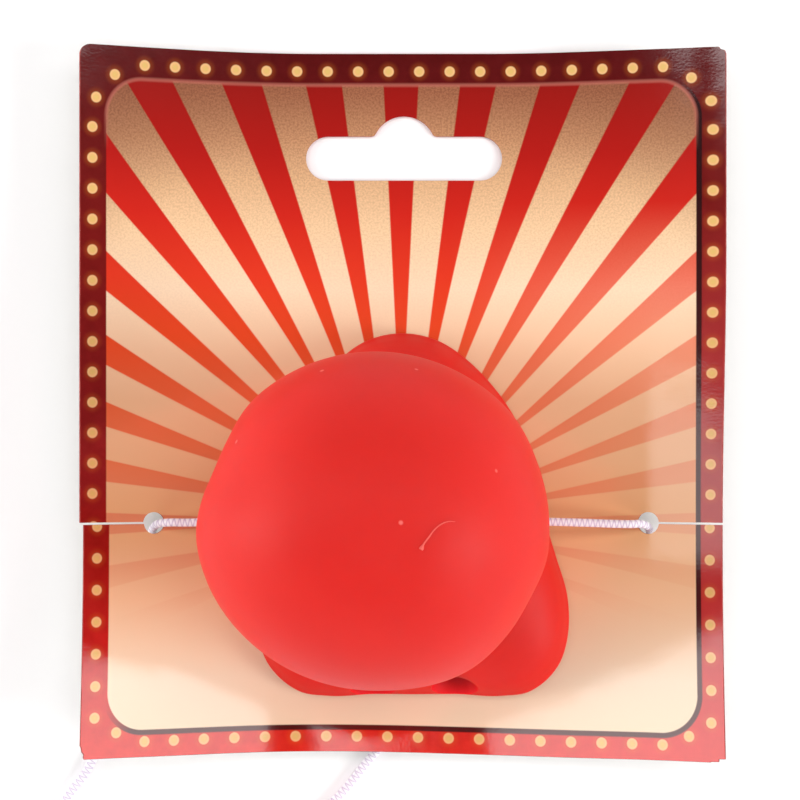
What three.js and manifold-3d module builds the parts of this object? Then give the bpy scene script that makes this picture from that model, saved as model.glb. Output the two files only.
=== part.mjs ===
// Clown nose on a display card: a soft squeeze nose with a head elastic, lying face up on the table.
// Lengths in millimetres, angles in degrees. +Z up, +Y towards the card's top edge.
// The origin is on the table, under the middle of the card.
import * as THREE from 'three';
import { mergeVertices } from 'three/addons/utils/BufferGeometryUtils.js';
import Module from 'manifold-3d';

const wasm = await Module();
wasm.setup();

// Fits
const GAP = 0.35;                // between two pieces that touch

// Display card
const CARD_WIDTH = 105;          // flat sheet, before it curls
const CARD_UPPER = 76.4;         // fold line to top edge, along the sheet
const CARD_LOWER = 37.1;         // fold line to bottom edge, along the sheet
const CARD_THICKNESS = 0.6;
const CARD_CORNER = 1.2;
const FLAT_BAND = 24;            // width of the middle band that lies on the table
const CURL_RADIUS = 102;         // the sides curl up from that band
const LOWER_SLOPE = 14;          // slope at the bottom edge: it bends up from the line of the cord holes
const CORD_HOLE = 3.5;
const CORD_HOLE_SPACING = 80;
const SLIT_WIDTH = 0.35;
const SLOT_WIDTH = 32;
const SLOT_HEIGHT = 7.2;
const SLOT_FROM_TOP = 17.1;      // top edge to the slot's middle line
const SLOT_FROM_MIDDLE = 0.5;
const SLOT_BUMP_RADIUS = 5.2;    // the round notch that centres the card on a hook
const SLOT_BUMP_RISE = 3.3;

// Nose
const WALL = 1.8;
const BASE_WIDTH = 52.4;
const BASE_HEIGHT = 58.4;
const BASE_SKEW = -1;          // sideways lean of the outline's top, the bottom goes the other way
const BASE_FROM_MIDDLE = 1.2;
const BASE_ABOVE_FOLD = 1.5;    // base's middle above the fold line
const NECK_RISE = 13.6;          // crease between base and ball, above the card
const BALL_WIDTH = 54;
const BALL_HEIGHT = 51.4;
const BALL_DEPTH = 52;
const BALL_ABOVE_NECK = 16.5;    // ball's middle above that crease
const BALL_LEAN_X = -5.3;        // ball's middle from the base's middle
const BALL_LEAN_Y = 0;
const NECK_LEAN = 0.5;           // share of that lean already reached at the crease
const DOME_RISE = 5.5;           // roof of the nose pocket above the crease
const NOSTRIL_WIDTH = 7.6;
const NOSTRIL_HEIGHT = 5;
const NOSTRIL_RISE = 4.6;        // middle of the nostril above the rim
const NOSTRIL_SPACING = 13;
const EAR_RISE = 4.6;            // cord holes of the base above the rim
const EAR_HOLE = 2.2;
const AIR_HOLE = 9;

// Squeaker, pushed into the air hole from the pocket
const SQUEAKER_FLANGE = 12.4;
const SQUEAKER_FLANGE_THICKNESS = 1.5;
const SQUEAKER_PROUD = 1.2;      // end of the barrel above the pocket's roof

// Head elastic and its knots
const CORD_DIAMETER = 1.3;
const KNOT_DIAMETER = 4;
const KNOT_LENGTH = 3.4;

// Facets
const AROUND = 48;               // directions in each ring of the nose
const BALL_RINGS = 11;           // rings from the crease to the tip
const CURL_STEPS = 7;            // columns across each curled side of the card
const BEND_STEPS = 7;            // rows down its bent lower part
const HOLE_SIDES = 16;
const CORD_SIDES = 8;
const CORD_STEPS = 2;            // steps between two points of its route

// Outline of the base from the middle to the edge, right half, as shares of its half width and half height.
const BASE_OUTLINE = [
  { at: -90, reach: 1.000 }, { at: -75, reach: 1.034 }, { at: -62, reach: 1.142 },
  { at: -54, reach: 1.214 }, { at: -44, reach: 1.228 }, { at: -36, reach: 1.180 },
  { at: -26, reach: 1.076 }, { at: -16, reach: 0.948 }, { at: -7, reach: 0.872 },
  { at: 2, reach: 0.840 }, { at: 14, reach: 0.826 }, { at: 25, reach: 0.835 },
  { at: 37, reach: 0.860 }, { at: 46, reach: 0.880 }, { at: 55, reach: 0.905 },
  { at: 65, reach: 0.940 }, { at: 77, reach: 0.984 }, { at: 90, reach: 1.000 },
];

// Dents and bulges of the soft ball round its widest ring, as shares of its half width and half height.
const BALL_OUTLINE = [
  { at: 0, reach: 0.982 }, { at: 20, reach: 0.977 }, { at: 38, reach: 0.996 }, { at: 60, reach: 1.000 },
  { at: 90, reach: 1.003 }, { at: 120, reach: 0.995 }, { at: 135, reach: 0.987 },
  { at: 150, reach: 0.955 }, { at: 162, reach: 0.951 }, { at: 172, reach: 0.976 },
  { at: 184, reach: 1.004 }, { at: 200, reach: 1.006 }, { at: 215, reach: 1.002 },
  { at: 230, reach: 0.998 }, { at: 255, reach: 0.998 }, { at: 275, reach: 1.004 },
  { at: 300, reach: 1.030 }, { at: 318, reach: 1.008 }, { at: 332, reach: 0.990 }, { at: 347, reach: 0.996 },
];

// Sections of the base from rim to crease: height share, size share, and how far it has turned into the ball.
const BASE_SECTIONS = [
  { rise: 0.00, size: 1.000, ball: 0.00 },
  { rise: 0.12, size: 1.000, ball: 0.00 },
  { rise: 0.20, size: 0.984, ball: 0.00 },
  { rise: 0.34, size: 0.962, ball: 0.02 },
  { rise: 0.50, size: 0.928, ball: 0.06 },
  { rise: 0.66, size: 0.882, ball: 0.16 },
  { rise: 0.80, size: 0.832, ball: 0.38 },
  { rise: 0.92, size: 0.790, ball: 0.74 },
  { rise: 1.00, size: 0.770, ball: 1.00 },
];

// Roof of the nose pocket from the crease to the flat seat of the squeaker.
const DOME_SECTIONS = [
  { rise: 0.42, reach: 0.93 },
  { rise: 0.74, reach: 0.78 },
  { rise: 0.93, reach: 0.58 },
  { rise: 1.00, reach: 0.38 },
];

// Route of the elastic: left ear, left card hole, under the card, loop on the table, right hole, right ear.
const CORD_ROUTE = [
  [-18.1, -19.5, 5.66], [-22.4, -19.5, 5.62], [-29.6, -19.6, 5.56], [-35, -19.7, 5.54],
  [-37.11, -19.68, 5.52], [-38.83, -19.83, 4.86], [-39.83, -20.23, 3.83], [-40.54, -21.45, 2.2],
  [-40.86, -23.01, 1.37], [-41.89, -26.05, 0.89], [-43.9, -34, 0.72], [-46.2, -44, 0.7],
  [-48.2, -52.6, 0.7], [-50.8, -59.6, 0.7], [-54.9, -65.4, 0.7], [-58.2, -72, 0.7],
  [-60.2, -81, 0.7], [-60, -91, 0.7], [-57.6, -101, 0.7], [-52.4, -109.5, 0.7],
  [-45, -113.6, 0.7], [-37.6, -111.4, 0.7], [-33.2, -104.6, 0.7], [-31.2, -95.6, 0.7],
  [-29, -86.4, 0.7], [-24.6, -77.8, 0.7], [-17.6, -71, 0.7], [-10.2, -64.6, 0.7],
  [-4.2, -57.4, 0.7], [1.6, -51.6, 0.7], [8.4, -47.2, 0.7], [16, -43.8, 0.7],
  [23.6, -40.6, 0.7], [29.4, -36.6, 0.7], [33.6, -32.4, 0.72], [36.6, -27.9, 0.84],
  [39.25, -25.09, 1.04], [40.48, -21.97, 2.35], [40.05, -20.45, 3.78], [38.88, -19.76, 4.91],
  [37.08, -19.76, 5.63], [34.16, -20.1, 5.74], [30.4, -19.6, 5.68], [24.6, -19.5, 5.76],
  [20.2, -19.5, 5.76],
];

const turn = THREE.MathUtils.degToRad;
const mix = THREE.MathUtils.lerp;

// Solids from closed meshes
function solid(geometry) {
  const bare = geometry.clone();
  bare.deleteAttribute('normal');
  bare.deleteAttribute('uv');
  const merged = mergeVertices(bare, 1e-4);
  return new wasm.Manifold(new wasm.Mesh({
    numProp: 3,
    vertProperties: new Float32Array(merged.attributes.position.array),
    triVerts: new Uint32Array(merged.index.array),
  }));
}

function mesh(name, body, color, roughness) {
  const found = body.getMesh();
  const geometry = new THREE.BufferGeometry();
  geometry.setAttribute('position', new THREE.BufferAttribute(new Float32Array(found.vertProperties), 3));
  geometry.setIndex(new THREE.BufferAttribute(new Uint32Array(found.triVerts), 1));
  geometry.computeVertexNormals();
  const made = new THREE.Mesh(geometry, new THREE.MeshStandardMaterial({ color, roughness, metalness: 0 }));
  made.name = name;
  return made;
}

// A closed skin through rings of equal count, from the lowest ring to the highest, with a point at each end.
function loft(rings) {
  const count = rings[0].length;
  const middle = (ring) => ring.reduce((sum, p) => sum.add(p), new THREE.Vector3()).divideScalar(count);
  const points = [middle(rings[0]), ...rings.flat(), middle(rings.at(-1))];
  const last = points.length - 1;
  const faces = [];
  for (let i = 0; i < count; i += 1) {
    const j = (i + 1) % count;
    faces.push(0, 1 + j, 1 + i);
    faces.push(last, last - count + i, last - count + j);
    for (let k = 0; k < rings.length - 1; k += 1) {
      const low = 1 + k * count;
      const high = low + count;
      faces.push(low + i, low + j, high + j, low + i, high + j, high + i);
    }
  }
  const geometry = new THREE.BufferGeometry().setFromPoints(points);
  geometry.setIndex(faces);
  return geometry;
}

// Smooth value of a table's reach in any direction round the middle.
function reachAt(rows, at) {
  const turned = ((at - rows[0].at) % 360 + 360) % 360 + rows[0].at;
  const next = rows.findIndex((row) => row.at > turned);
  const b = next < 0 ? rows.length : next;
  const row = (k) => {
    const wrapped = (k + rows.length) % rows.length;
    return { at: rows[wrapped].at + 360 * Math.floor(k / rows.length), reach: rows[wrapped].reach };
  };
  const [p, q, r, s] = [row(b - 2), row(b - 1), row(b), row(b + 1)];
  const span = r.at - q.at;
  const t = (turned - q.at) / span;
  const slopeIn = (r.reach - p.reach) / (r.at - p.at) * span;
  const slopeOut = (s.reach - q.reach) / (s.at - q.at) * span;
  return (2 * t ** 3 - 3 * t ** 2 + 1) * q.reach + (t ** 3 - 2 * t ** 2 + t) * slopeIn
    + (3 * t ** 2 - 2 * t ** 3) * r.reach + (t ** 3 - t ** 2) * slopeOut;
}

// Display card: one sheet, curled up at its sides and bent up below the line of the cord holes
const halfWidth = FLAT_BAND / 2 + CURL_RADIUS * Math.sin((CARD_WIDTH - FLAT_BAND) / 2 / CURL_RADIUS);
const lowerReach = CARD_LOWER * Math.cos(turn(LOWER_SLOPE / 2));
const topY = (CARD_UPPER + lowerReach) / 2;
const foldY = topY - CARD_UPPER;
const holeX = CORD_HOLE_SPACING / 2;

function cardUnder(x, y) {
  const past = Math.max(0, Math.abs(x) - FLAT_BAND / 2);
  const below = Math.max(0, foldY - y);
  const bend = below ** 2 * Math.tan(turn(LOWER_SLOPE)) / (2 * lowerReach);
  return CURL_RADIUS - Math.sqrt(CURL_RADIUS ** 2 - past ** 2) + bend;
}
const cardTop = (x, y) => cardUnder(x, y) + CARD_THICKNESS;

// A sheet between two heights over a grid of columns and rows.
function sheet(columns, rows, low, high) {
  const under = rows.map((y) => columns.map((x) => new THREE.Vector3(x, y, low(x, y))));
  const over = rows.map((y) => columns.map((x) => new THREE.Vector3(x, y, high(x, y))));
  const across = columns.length;
  const count = across * rows.length;
  const faces = [];
  const quad = (a, b, c, d) => faces.push(a, b, c, a, c, d);
  for (let j = 0; j < rows.length - 1; j += 1) {
    for (let i = 0; i < across - 1; i += 1) {
      const a = j * across + i;
      quad(count + a, count + a + 1, count + a + across + 1, count + a + across);
      quad(a, a + across, a + across + 1, a + 1);
    }
  }
  for (let i = 0; i < across - 1; i += 1) {
    const top = count - across + i;
    quad(i, i + 1, count + i + 1, count + i);
    quad(top + 1, top, count + top, count + top + 1);
  }
  for (let j = 0; j < rows.length - 1; j += 1) {
    const left = j * across;
    const right = left + across - 1;
    quad(left + across, left, count + left, count + left + across);
    quad(right, right + across, count + right + across, count + right);
  }
  const geometry = new THREE.BufferGeometry().setFromPoints([...under.flat(), ...over.flat()]);
  geometry.setIndex(faces);
  return geometry;
}

function roundedRectangle(width, height, radius) {
  const shape = new THREE.Shape();
  const x = width / 2 - radius;
  const y = height / 2 - radius;
  shape.absarc(x, y, radius, 0, Math.PI / 2);
  shape.absarc(-x, y, radius, Math.PI / 2, Math.PI);
  shape.absarc(-x, -y, radius, Math.PI, Math.PI * 1.5);
  shape.absarc(x, -y, radius, Math.PI * 1.5, Math.PI * 2);
  return shape;
}

const margin = 2;                // how far a cutter runs past what it cuts
const tall = 60;                 // height of a cutter through the card
const sliver = 0.01;             // straight left between two end arcs, so that no side has no length
const punch = (shape) => new THREE.ExtrudeGeometry(shape, {
  depth: tall, bevelEnabled: false, curveSegments: HOLE_SIDES / 2,
}).translate(0, 0, -tall / 2);
const drill = (radius) => new THREE.CylinderGeometry(radius, radius, tall, HOLE_SIDES).rotateX(Math.PI / 2);

const curlSteps = Array.from({ length: CURL_STEPS + 1 }, (_, k) => (
  mix(FLAT_BAND / 2, halfWidth + margin, k / CURL_STEPS)));
const sideColumns = [...curlSteps, holeX].sort((a, b) => a - b);
const cardColumns = [...sideColumns.toReversed().map((x) => -x), ...sideColumns];
const bendRows = Array.from({ length: BEND_STEPS + 1 }, (_, k) => (
  mix(-topY - margin, foldY - SLIT_WIDTH / 2, k / BEND_STEPS)));
const cardRows = [...bendRows, foldY + SLIT_WIDTH / 2, topY - SLOT_FROM_TOP, topY + margin];
const slotTop = topY - SLOT_FROM_TOP + SLOT_HEIGHT / 2;
let cardBody = solid(sheet(cardColumns, cardRows, cardUnder, cardTop))
  .intersect(solid(punch(roundedRectangle(2 * halfWidth, 2 * topY, CARD_CORNER))))
  .subtract(solid(punch(roundedRectangle(SLOT_WIDTH, SLOT_HEIGHT, SLOT_HEIGHT / 2 - sliver))
    .translate(SLOT_FROM_MIDDLE, topY - SLOT_FROM_TOP, 0)))
  .subtract(solid(drill(SLOT_BUMP_RADIUS)
    .translate(SLOT_FROM_MIDDLE, slotTop + SLOT_BUMP_RISE - SLOT_BUMP_RADIUS, 0)));
for (const side of [-1, 1]) {
  const slitLength = halfWidth + margin - holeX;
  cardBody = cardBody
    .subtract(solid(drill(CORD_HOLE / 2).translate(side * holeX, foldY, 0)))
    .subtract(solid(new THREE.BoxGeometry(slitLength, SLIT_WIDTH, tall)
      .translate(side * (holeX + slitLength / 2), foldY, 0)));
}

// Nose: a ball on a flared base, one wall all round, open at the back
const baseRows = [
  ...BASE_OUTLINE,
  ...BASE_OUTLINE.slice(1, -1).toReversed().map((row) => ({ at: 180 - row.at, reach: row.reach })),
];
const baseMiddle = new THREE.Vector2(BASE_FROM_MIDDLE, foldY + BASE_ABOVE_FOLD);
const neckZ = CARD_THICKNESS + GAP + NECK_RISE;
const ballZ = neckZ + BALL_ABOVE_NECK;
const rimZ = (x, y) => cardTop(x, y) + GAP;
const directions = Array.from({ length: AROUND }, (_, i) => 360 * i / AROUND);

// Middle of the ball's ring at a height: the ball leans away from the base.
function ballMiddle(z) {
  const share = NECK_LEAN + (1 - NECK_LEAN) * Math.min(1, (z - neckZ) / BALL_ABOVE_NECK);
  return baseMiddle.clone().add(new THREE.Vector2(BALL_LEAN_X, BALL_LEAN_Y).multiplyScalar(share));
}

// One point of the ball's skin, a wall thickness further in where inset is given.
function ballPoint(at, latitude, inset = 0) {
  const level = Math.cos(turn(latitude));
  const reach = 1 + (reachAt(BALL_OUTLINE, at) - 1) * level;
  const z = ballZ + (BALL_DEPTH / 2 - inset) * Math.sin(turn(latitude));
  const middle = ballMiddle(z);
  return new THREE.Vector3(
    middle.x + (BALL_WIDTH / 2 * reach - inset) * level * Math.cos(turn(at)),
    middle.y + (BALL_HEIGHT / 2 * reach - inset) * level * Math.sin(turn(at)),
    z,
  );
}
const neckLatitude = -THREE.MathUtils.radToDeg(Math.asin(BALL_ABOVE_NECK / (BALL_DEPTH / 2)));

// One point of the base's skin at a section, drawn in by the wall where inset is given.
function basePoint(at, section, inset = 0) {
  const reach = section.size * reachAt(baseRows, at);
  const across = reach * Math.cos(turn(at));
  const up = reach * Math.sin(turn(at));
  const rim = new THREE.Vector2(BASE_WIDTH / 2 * across + BASE_SKEW * up, BASE_HEIGHT / 2 * up)
    .add(baseMiddle);
  const neck = ballPoint(at, neckLatitude);
  const middle = baseMiddle.clone().lerp(ballMiddle(neckZ), section.ball);
  const point = rim.lerp(neck, section.ball);
  point.lerp(middle, inset / point.distanceTo(middle));
  return new THREE.Vector3(point.x, point.y, mix(rimZ(point.x, point.y), neckZ, section.rise));
}

// Any height between two sections of the base.
function baseSection(rise) {
  const k = Math.min(BASE_SECTIONS.length - 1, BASE_SECTIONS.findIndex((row) => row.rise >= rise));
  const [a, b] = [BASE_SECTIONS[k - 1], BASE_SECTIONS[k]];
  const t = (rise - a.rise) / (b.rise - a.rise);
  return { rise, size: mix(a.size, b.size, t), ball: mix(a.ball, b.ball, t) };
}

const latitudes = Array.from({ length: BALL_RINGS }, (_, k) => (
  mix(neckLatitude, 90, (k + 1) / (BALL_RINGS + 1))));
const skin = loft([
  ...BASE_SECTIONS.map((section) => directions.map((at) => basePoint(at, section))),
  ...latitudes.map((latitude) => directions.map((at) => ballPoint(at, latitude))),
]);

const domeMiddle = ballMiddle(neckZ);
const roofZ = neckZ + DOME_RISE;
function domePoint(at, section, lift) {
  const neck = basePoint(at, BASE_SECTIONS.at(-1), WALL);
  const point = domeMiddle.clone().lerp(neck, section.reach);
  return new THREE.Vector3(point.x, point.y, mix(neckZ, roofZ, section.rise) + lift);
}
const pocketMouth = { rise: -0.3, size: 1, ball: 0 };   // starts below the rim, so that the pocket is open
const pocket = loft([
  ...[pocketMouth, ...BASE_SECTIONS].map((section) => directions.map((at) => basePoint(at, section, WALL))),
  ...DOME_SECTIONS.map((section) => directions.map((at) => domePoint(at, section, 0))),
]);

const hollowFloor = mix(neckZ, roofZ, DOME_SECTIONS[0].rise) + WALL;
const hollowLatitudes = latitudes.filter((latitude) => ballPoint(0, latitude, WALL).z > hollowFloor);
const hollow = loft([
  ...DOME_SECTIONS.toReversed().map((section) => directions.map((at) => domePoint(at, section, WALL))),
  ...hollowLatitudes.map((latitude) => directions.map((at) => ballPoint(at, latitude, WALL))),
]);

const airHole = new THREE.CylinderGeometry(AIR_HOLE / 2, AIR_HOLE / 2, WALL + 2 * margin, HOLE_SIDES)
  .rotateX(Math.PI / 2).translate(domeMiddle.x, domeMiddle.y, roofZ + WALL / 2);

// Where the elastic passes the base's wall on one side, level with the card holes: outer and inner point.
function ear(side, rise = EAR_RISE) {
  const at = THREE.MathUtils.radToDeg(Math.atan2(-BASE_ABOVE_FOLD, side * BASE_WIDTH / 2));
  const section = baseSection(rise / NECK_RISE);
  return { outer: basePoint(at, section), inner: basePoint(at, section, WALL) };
}
const earHole = (side) => new THREE.CylinderGeometry(EAR_HOLE / 2, EAR_HOLE / 2, 4 * WALL, CORD_SIDES)
  .rotateZ(Math.PI / 2).translate(...ear(side).outer.clone().lerp(ear(side).inner, 0.5).toArray());

// Nostrils: two oval openings in the base's lower wall.
function nostril(side) {
  const shape = new THREE.Shape()
    .absellipse(0, 0, NOSTRIL_WIDTH / 2, NOSTRIL_HEIGHT / 2, 0, Math.PI * 2);
  const at = -90;
  const wall = basePoint(at, baseSection(NOSTRIL_RISE / NECK_RISE), WALL / 2);
  const depth = 6 * WALL;
  return new THREE.ExtrudeGeometry(shape, { depth, bevelEnabled: false, curveSegments: 10 })
    .translate(side * NOSTRIL_SPACING / 2, 0, -depth / 2)
    .rotateX(Math.PI / 2).translate(...wall.toArray());
}

let noseBody = solid(skin).subtract(solid(pocket)).subtract(solid(hollow)).subtract(solid(airHole));
for (const side of [-1, 1]) {
  noseBody = noseBody.subtract(solid(earHole(side))).subtract(solid(nostril(side)));
}

// Squeaker: a plug with a flange under the pocket's roof
const barrel = AIR_HOLE / 2 - GAP;
const flangeTop = roofZ - GAP;
const squeaker = new THREE.LatheGeometry([
  new THREE.Vector2(0, flangeTop - SQUEAKER_FLANGE_THICKNESS),
  new THREE.Vector2(SQUEAKER_FLANGE / 2, flangeTop - SQUEAKER_FLANGE_THICKNESS),
  new THREE.Vector2(SQUEAKER_FLANGE / 2, flangeTop),
  new THREE.Vector2(barrel, flangeTop),
  new THREE.Vector2(barrel, roofZ + WALL + SQUEAKER_PROUD),
  new THREE.Vector2(0, roofZ + WALL + SQUEAKER_PROUD),
], HOLE_SIDES).rotateX(Math.PI / 2).translate(domeMiddle.x, domeMiddle.y, 0);

// Knots: a small barrel behind each cord hole of the base
function knot(side) {
  const radius = KNOT_DIAMETER / 2;
  const middle = ear(side).inner;
  const wall = ear(side, EAR_RISE + radius).inner;
  const profile = [[0, 0], [0.6, 0], [1, 0.25], [1, 0.75], [0.6, 1], [0, 1]]
    .map(([r, z]) => new THREE.Vector2(r * radius, z * KNOT_LENGTH));
  return new THREE.LatheGeometry(profile, CORD_SIDES).rotateZ(side * Math.PI / 2)
    .translate(wall.x - side * GAP, middle.y, middle.z);
}

// Head elastic: one round cord from knot to knot
function cord(route) {
  const curve = new THREE.CatmullRomCurve3(route.map((p) => new THREE.Vector3(...p)), false, 'centripetal');
  curve.getPointAt = (u, target) => curve.getPoint(u, target);
  curve.getTangentAt = (u, target) => curve.getTangent(u, target);
  const section = new THREE.Shape().absarc(0, 0, CORD_DIAMETER / 2, 0, Math.PI * 2);
  return new THREE.ExtrudeGeometry(section, {
    extrudePath: curve, steps: CORD_STEPS * (route.length - 1), curveSegments: CORD_SIDES / 2,
    bevelEnabled: false,
  });
}

const group = new THREE.Group();
group.add(
  mesh('card', cardBody, 0xb8302a, 0.35),
  mesh('nose', noseBody, 0xe23328, 0.4),
  mesh('squeaker', solid(squeaker), 0xe8e4dc, 0.5),
  mesh('knot_left', solid(knot(-1)), 0xe6dfe6, 0.8),
  mesh('knot_right', solid(knot(1)), 0xe6dfe6, 0.8),
  mesh('elastic_cord', solid(cord(CORD_ROUTE)), 0xe6dfe6, 0.8),
);

export default group;
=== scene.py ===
"""Clown nose on its display card, dressed for the render.

Every piece lies where the part's solids lie, in metres: +Z up, +Y towards the card's top edge, the table at
height 0. Lengths below are in millimetres and are scaled once, where a mesh is made. Each curved shape is a
formula on whole arrays: the elastic is a circle carried along a smooth route, the card is a flat sheet laid on
a height formula, and the nose is a stack of rings whose reach in each direction is read from a smooth table.
"""

import bmesh
import bpy
import numpy as np
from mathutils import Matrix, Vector
from mathutils.geometry import delaunay_2d_cdt


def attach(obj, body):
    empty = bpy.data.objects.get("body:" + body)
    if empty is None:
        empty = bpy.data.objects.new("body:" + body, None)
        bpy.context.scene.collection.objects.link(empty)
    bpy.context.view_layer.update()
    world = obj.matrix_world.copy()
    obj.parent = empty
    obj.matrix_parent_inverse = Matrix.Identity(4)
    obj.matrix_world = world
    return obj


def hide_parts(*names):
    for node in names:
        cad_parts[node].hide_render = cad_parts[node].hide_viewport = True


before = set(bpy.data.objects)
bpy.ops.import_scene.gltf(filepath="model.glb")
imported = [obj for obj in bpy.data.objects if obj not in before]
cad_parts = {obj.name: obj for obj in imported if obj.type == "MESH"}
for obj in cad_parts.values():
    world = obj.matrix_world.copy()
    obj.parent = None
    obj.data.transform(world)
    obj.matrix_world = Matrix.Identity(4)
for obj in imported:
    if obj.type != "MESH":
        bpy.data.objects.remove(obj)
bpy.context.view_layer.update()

# ---- Camera
# It looks straight down on the card from 450 mm above the table, which is how the outlines of the card's
# raised sides and of the ball stand to each other in the photograph.
MM = 0.001
camera = bpy.data.objects.new("camera", bpy.data.cameras.new("camera"))
bpy.context.collection.objects.link(camera)
bpy.context.scene.camera = camera
camera.location = (-0.16 * MM, 0.10 * MM, 450 * MM)
camera.data.sensor_width = 36
camera.data.lens = 36 * 450 / 130.8     # 130.8 mm of table from side to side

# ---- Elastic
# The head elastic is a 1.3 mm rubber core wound with white textured yarn. It starts at a knot behind the
# nose's left wall, goes down through the card's left hole, lies on the table as one loop, comes up through
# the right hole and ends at the other knot.
CORD_THICKNESS = 1.3
CORD_ROUTE = np.array([
    [-18.1, -19.5, 5.66], [-22.4, -19.5, 5.62], [-29.6, -19.6, 5.56], [-35, -19.7, 5.54],
    [-37.11, -19.68, 5.52], [-38.83, -19.83, 4.86], [-39.83, -20.23, 3.83], [-40.54, -21.45, 2.2],
    [-40.86, -23.01, 1.37], [-41.89, -26.05, 0.89], [-43.9, -34, 0.72], [-46.2, -44, 0.7],
    [-48.2, -52.6, 0.7], [-50.8, -59.6, 0.7], [-54.9, -65.4, 0.7], [-58.2, -72, 0.7],
    [-60.2, -81, 0.7], [-60, -91, 0.7], [-57.6, -101, 0.7], [-52.4, -109.5, 0.7],
    [-45, -113.6, 0.7], [-37.6, -111.4, 0.7], [-33.2, -104.6, 0.7], [-31.2, -95.6, 0.7],
    [-29, -86.4, 0.7], [-24.6, -77.8, 0.7], [-17.6, -71, 0.7], [-10.2, -64.6, 0.7],
    [-4.2, -57.4, 0.7], [1.6, -51.6, 0.7], [8.4, -47.2, 0.7], [16, -43.8, 0.7],
    [23.6, -40.6, 0.7], [29.4, -36.6, 0.7], [33.6, -32.4, 0.72], [36.6, -27.9, 0.84],
    [39.25, -25.09, 1.04], [40.48, -21.97, 2.35], [40.05, -20.52, 3.78], [38.88, -19.95, 4.91],
    [37.08, -19.94, 5.63], [34.16, -19.88, 5.74], [30.4, -19.74, 5.68], [24.6, -19.57, 5.76],
    [20.2, -19.5, 5.76],
])
CORD_STEPS = 12                         # rings between two points of the route
CORD_SIDES = 20
YARN_PITCH = 0.86                       # two ribs; real yarn is 0.2 mm, drawn coarser so that it shows
YARN_STARTS = 1                         # yarns side by side round the cord


def linear(colour):
    """Linear red, green, blue and 1 from an sRGB hex colour."""
    channels = np.array([int(colour[k:k + 2], 16) for k in (1, 3, 5)]) / 255
    low = channels <= 0.04045
    return (*np.where(low, channels / 12.92, ((channels + 0.055) / 1.055) ** 2.4), 1.0)


def add(tree, kind, links=(), stops=(), **settings):
    """One node of a material: its settings, its colour stops, and for each input a value or a node."""
    made = tree.nodes.new("ShaderNode" + kind)
    for name, value in settings.items():
        setattr(made, name, value)
    for place, (position, colour) in enumerate(stops):
        stop = made.color_ramp.elements[place] if place < 2 else made.color_ramp.elements.new(position)
        stop.position, stop.color = position, linear(colour)
    for name, value in dict(links).items():
        socket = made.inputs[name] if isinstance(name, int) else next(
            i for i in made.inputs if i.enabled and i.name == name)
        if isinstance(value, bpy.types.Node):
            value = next(o for o in value.outputs if o.enabled)
        if isinstance(value, bpy.types.NodeSocket):
            tree.links.new(value, socket)
        else:
            socket.default_value = linear(value) if isinstance(value, str) else value
    return made


def finish_of(name):
    """An empty material of that name: its node tree, and the surface that its output shows."""
    material = bpy.data.materials.new(name)
    material.use_nodes = True
    tree = material.node_tree
    return material, tree, tree.nodes["Principled BSDF"]


def put(tree, surface, **values):
    """Settings of the surface, each a value, a hex colour or a node. Underscores stand for spaces."""
    for name, value in values.items():
        socket = surface.inputs[name.replace("_", " ")]
        if isinstance(value, bpy.types.Node):
            value = next(o for o in value.outputs if o.enabled)
        if isinstance(value, bpy.types.NodeSocket):
            tree.links.new(value, socket)
        else:
            socket.default_value = linear(value) if isinstance(value, str) else value


def piece(name, points, faces, materials, layout=None, layout_name="layout"):
    """A mesh object from points in millimetres, smooth shaded, with one layout coordinate per face corner."""
    mesh = bpy.data.meshes.new(name)
    mesh.from_pydata((np.asarray(points, float) * MM).tolist(), [], [[int(k) for k in face] for face in faces])
    if layout is not None:
        mesh.uv_layers.new(name=layout_name).data.foreach_set("uv", np.asarray(layout, float).ravel())
    for material in materials:
        mesh.materials.append(material)
    mesh.shade_smooth()
    made = bpy.data.objects.new(name, mesh)
    bpy.context.collection.objects.link(made)
    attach(made, "root")
    return made


def settle(made, angle):
    """Applies the piece's modifiers, and keeps edges sharper than the angle in degrees as hard edges."""
    bpy.context.view_layer.update()
    made.data = bpy.data.meshes.new_from_object(made.evaluated_get(bpy.context.evaluated_depsgraph_get()))
    made.modifiers.clear()
    made.data.shade_smooth()
    made.data.set_sharp_from_angle(angle=np.radians(angle))


def ring_faces(rows, count):
    """Four-cornered faces between rows of rings with count points each, and each face's place in the grid."""
    j, i = np.meshgrid(np.arange(rows - 1), np.arange(count), indexing="ij")
    j, i = j.ravel(), i.ravel()
    after = (i + 1) % count
    faces = np.stack([j * count + i, j * count + after, (j + 1) * count + after, (j + 1) * count + i], axis=1)
    return faces, j, i


def smooth_route(route, steps):
    """Points on a curve through the route: a cubic between two neighbours, whose slopes come from the root
    of each gap's length, so that it never loops or overshoots."""
    ends = np.vstack([2 * route[0] - route[1], route, 2 * route[-1] - route[-2]])
    p = [ends[k:len(ends) - 3 + k] for k in range(4)]
    gap = [np.sqrt(np.linalg.norm(p[k + 1] - p[k], axis=1))[:, None] for k in range(3)]
    slope_in = ((p[1] - p[0]) / gap[0] - (p[2] - p[0]) / (gap[0] + gap[1]) + (p[2] - p[1]) / gap[1]) * gap[1]
    slope_out = ((p[2] - p[1]) / gap[1] - (p[3] - p[1]) / (gap[1] + gap[2]) + (p[3] - p[2]) / gap[2]) * gap[1]
    t = (np.arange(steps) / steps)[None, :, None]
    a, b, c, d = [x[:, None, :] for x in (p[1], p[2], slope_in, slope_out)]
    curve = ((2 * t ** 3 - 3 * t ** 2 + 1) * a + (t ** 3 - 2 * t ** 2 + t) * c
             + (3 * t ** 2 - 2 * t ** 3) * b + (t ** 3 - t ** 2) * d)
    return np.vstack([curve.reshape(-1, 3), route[-1:]])


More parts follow.
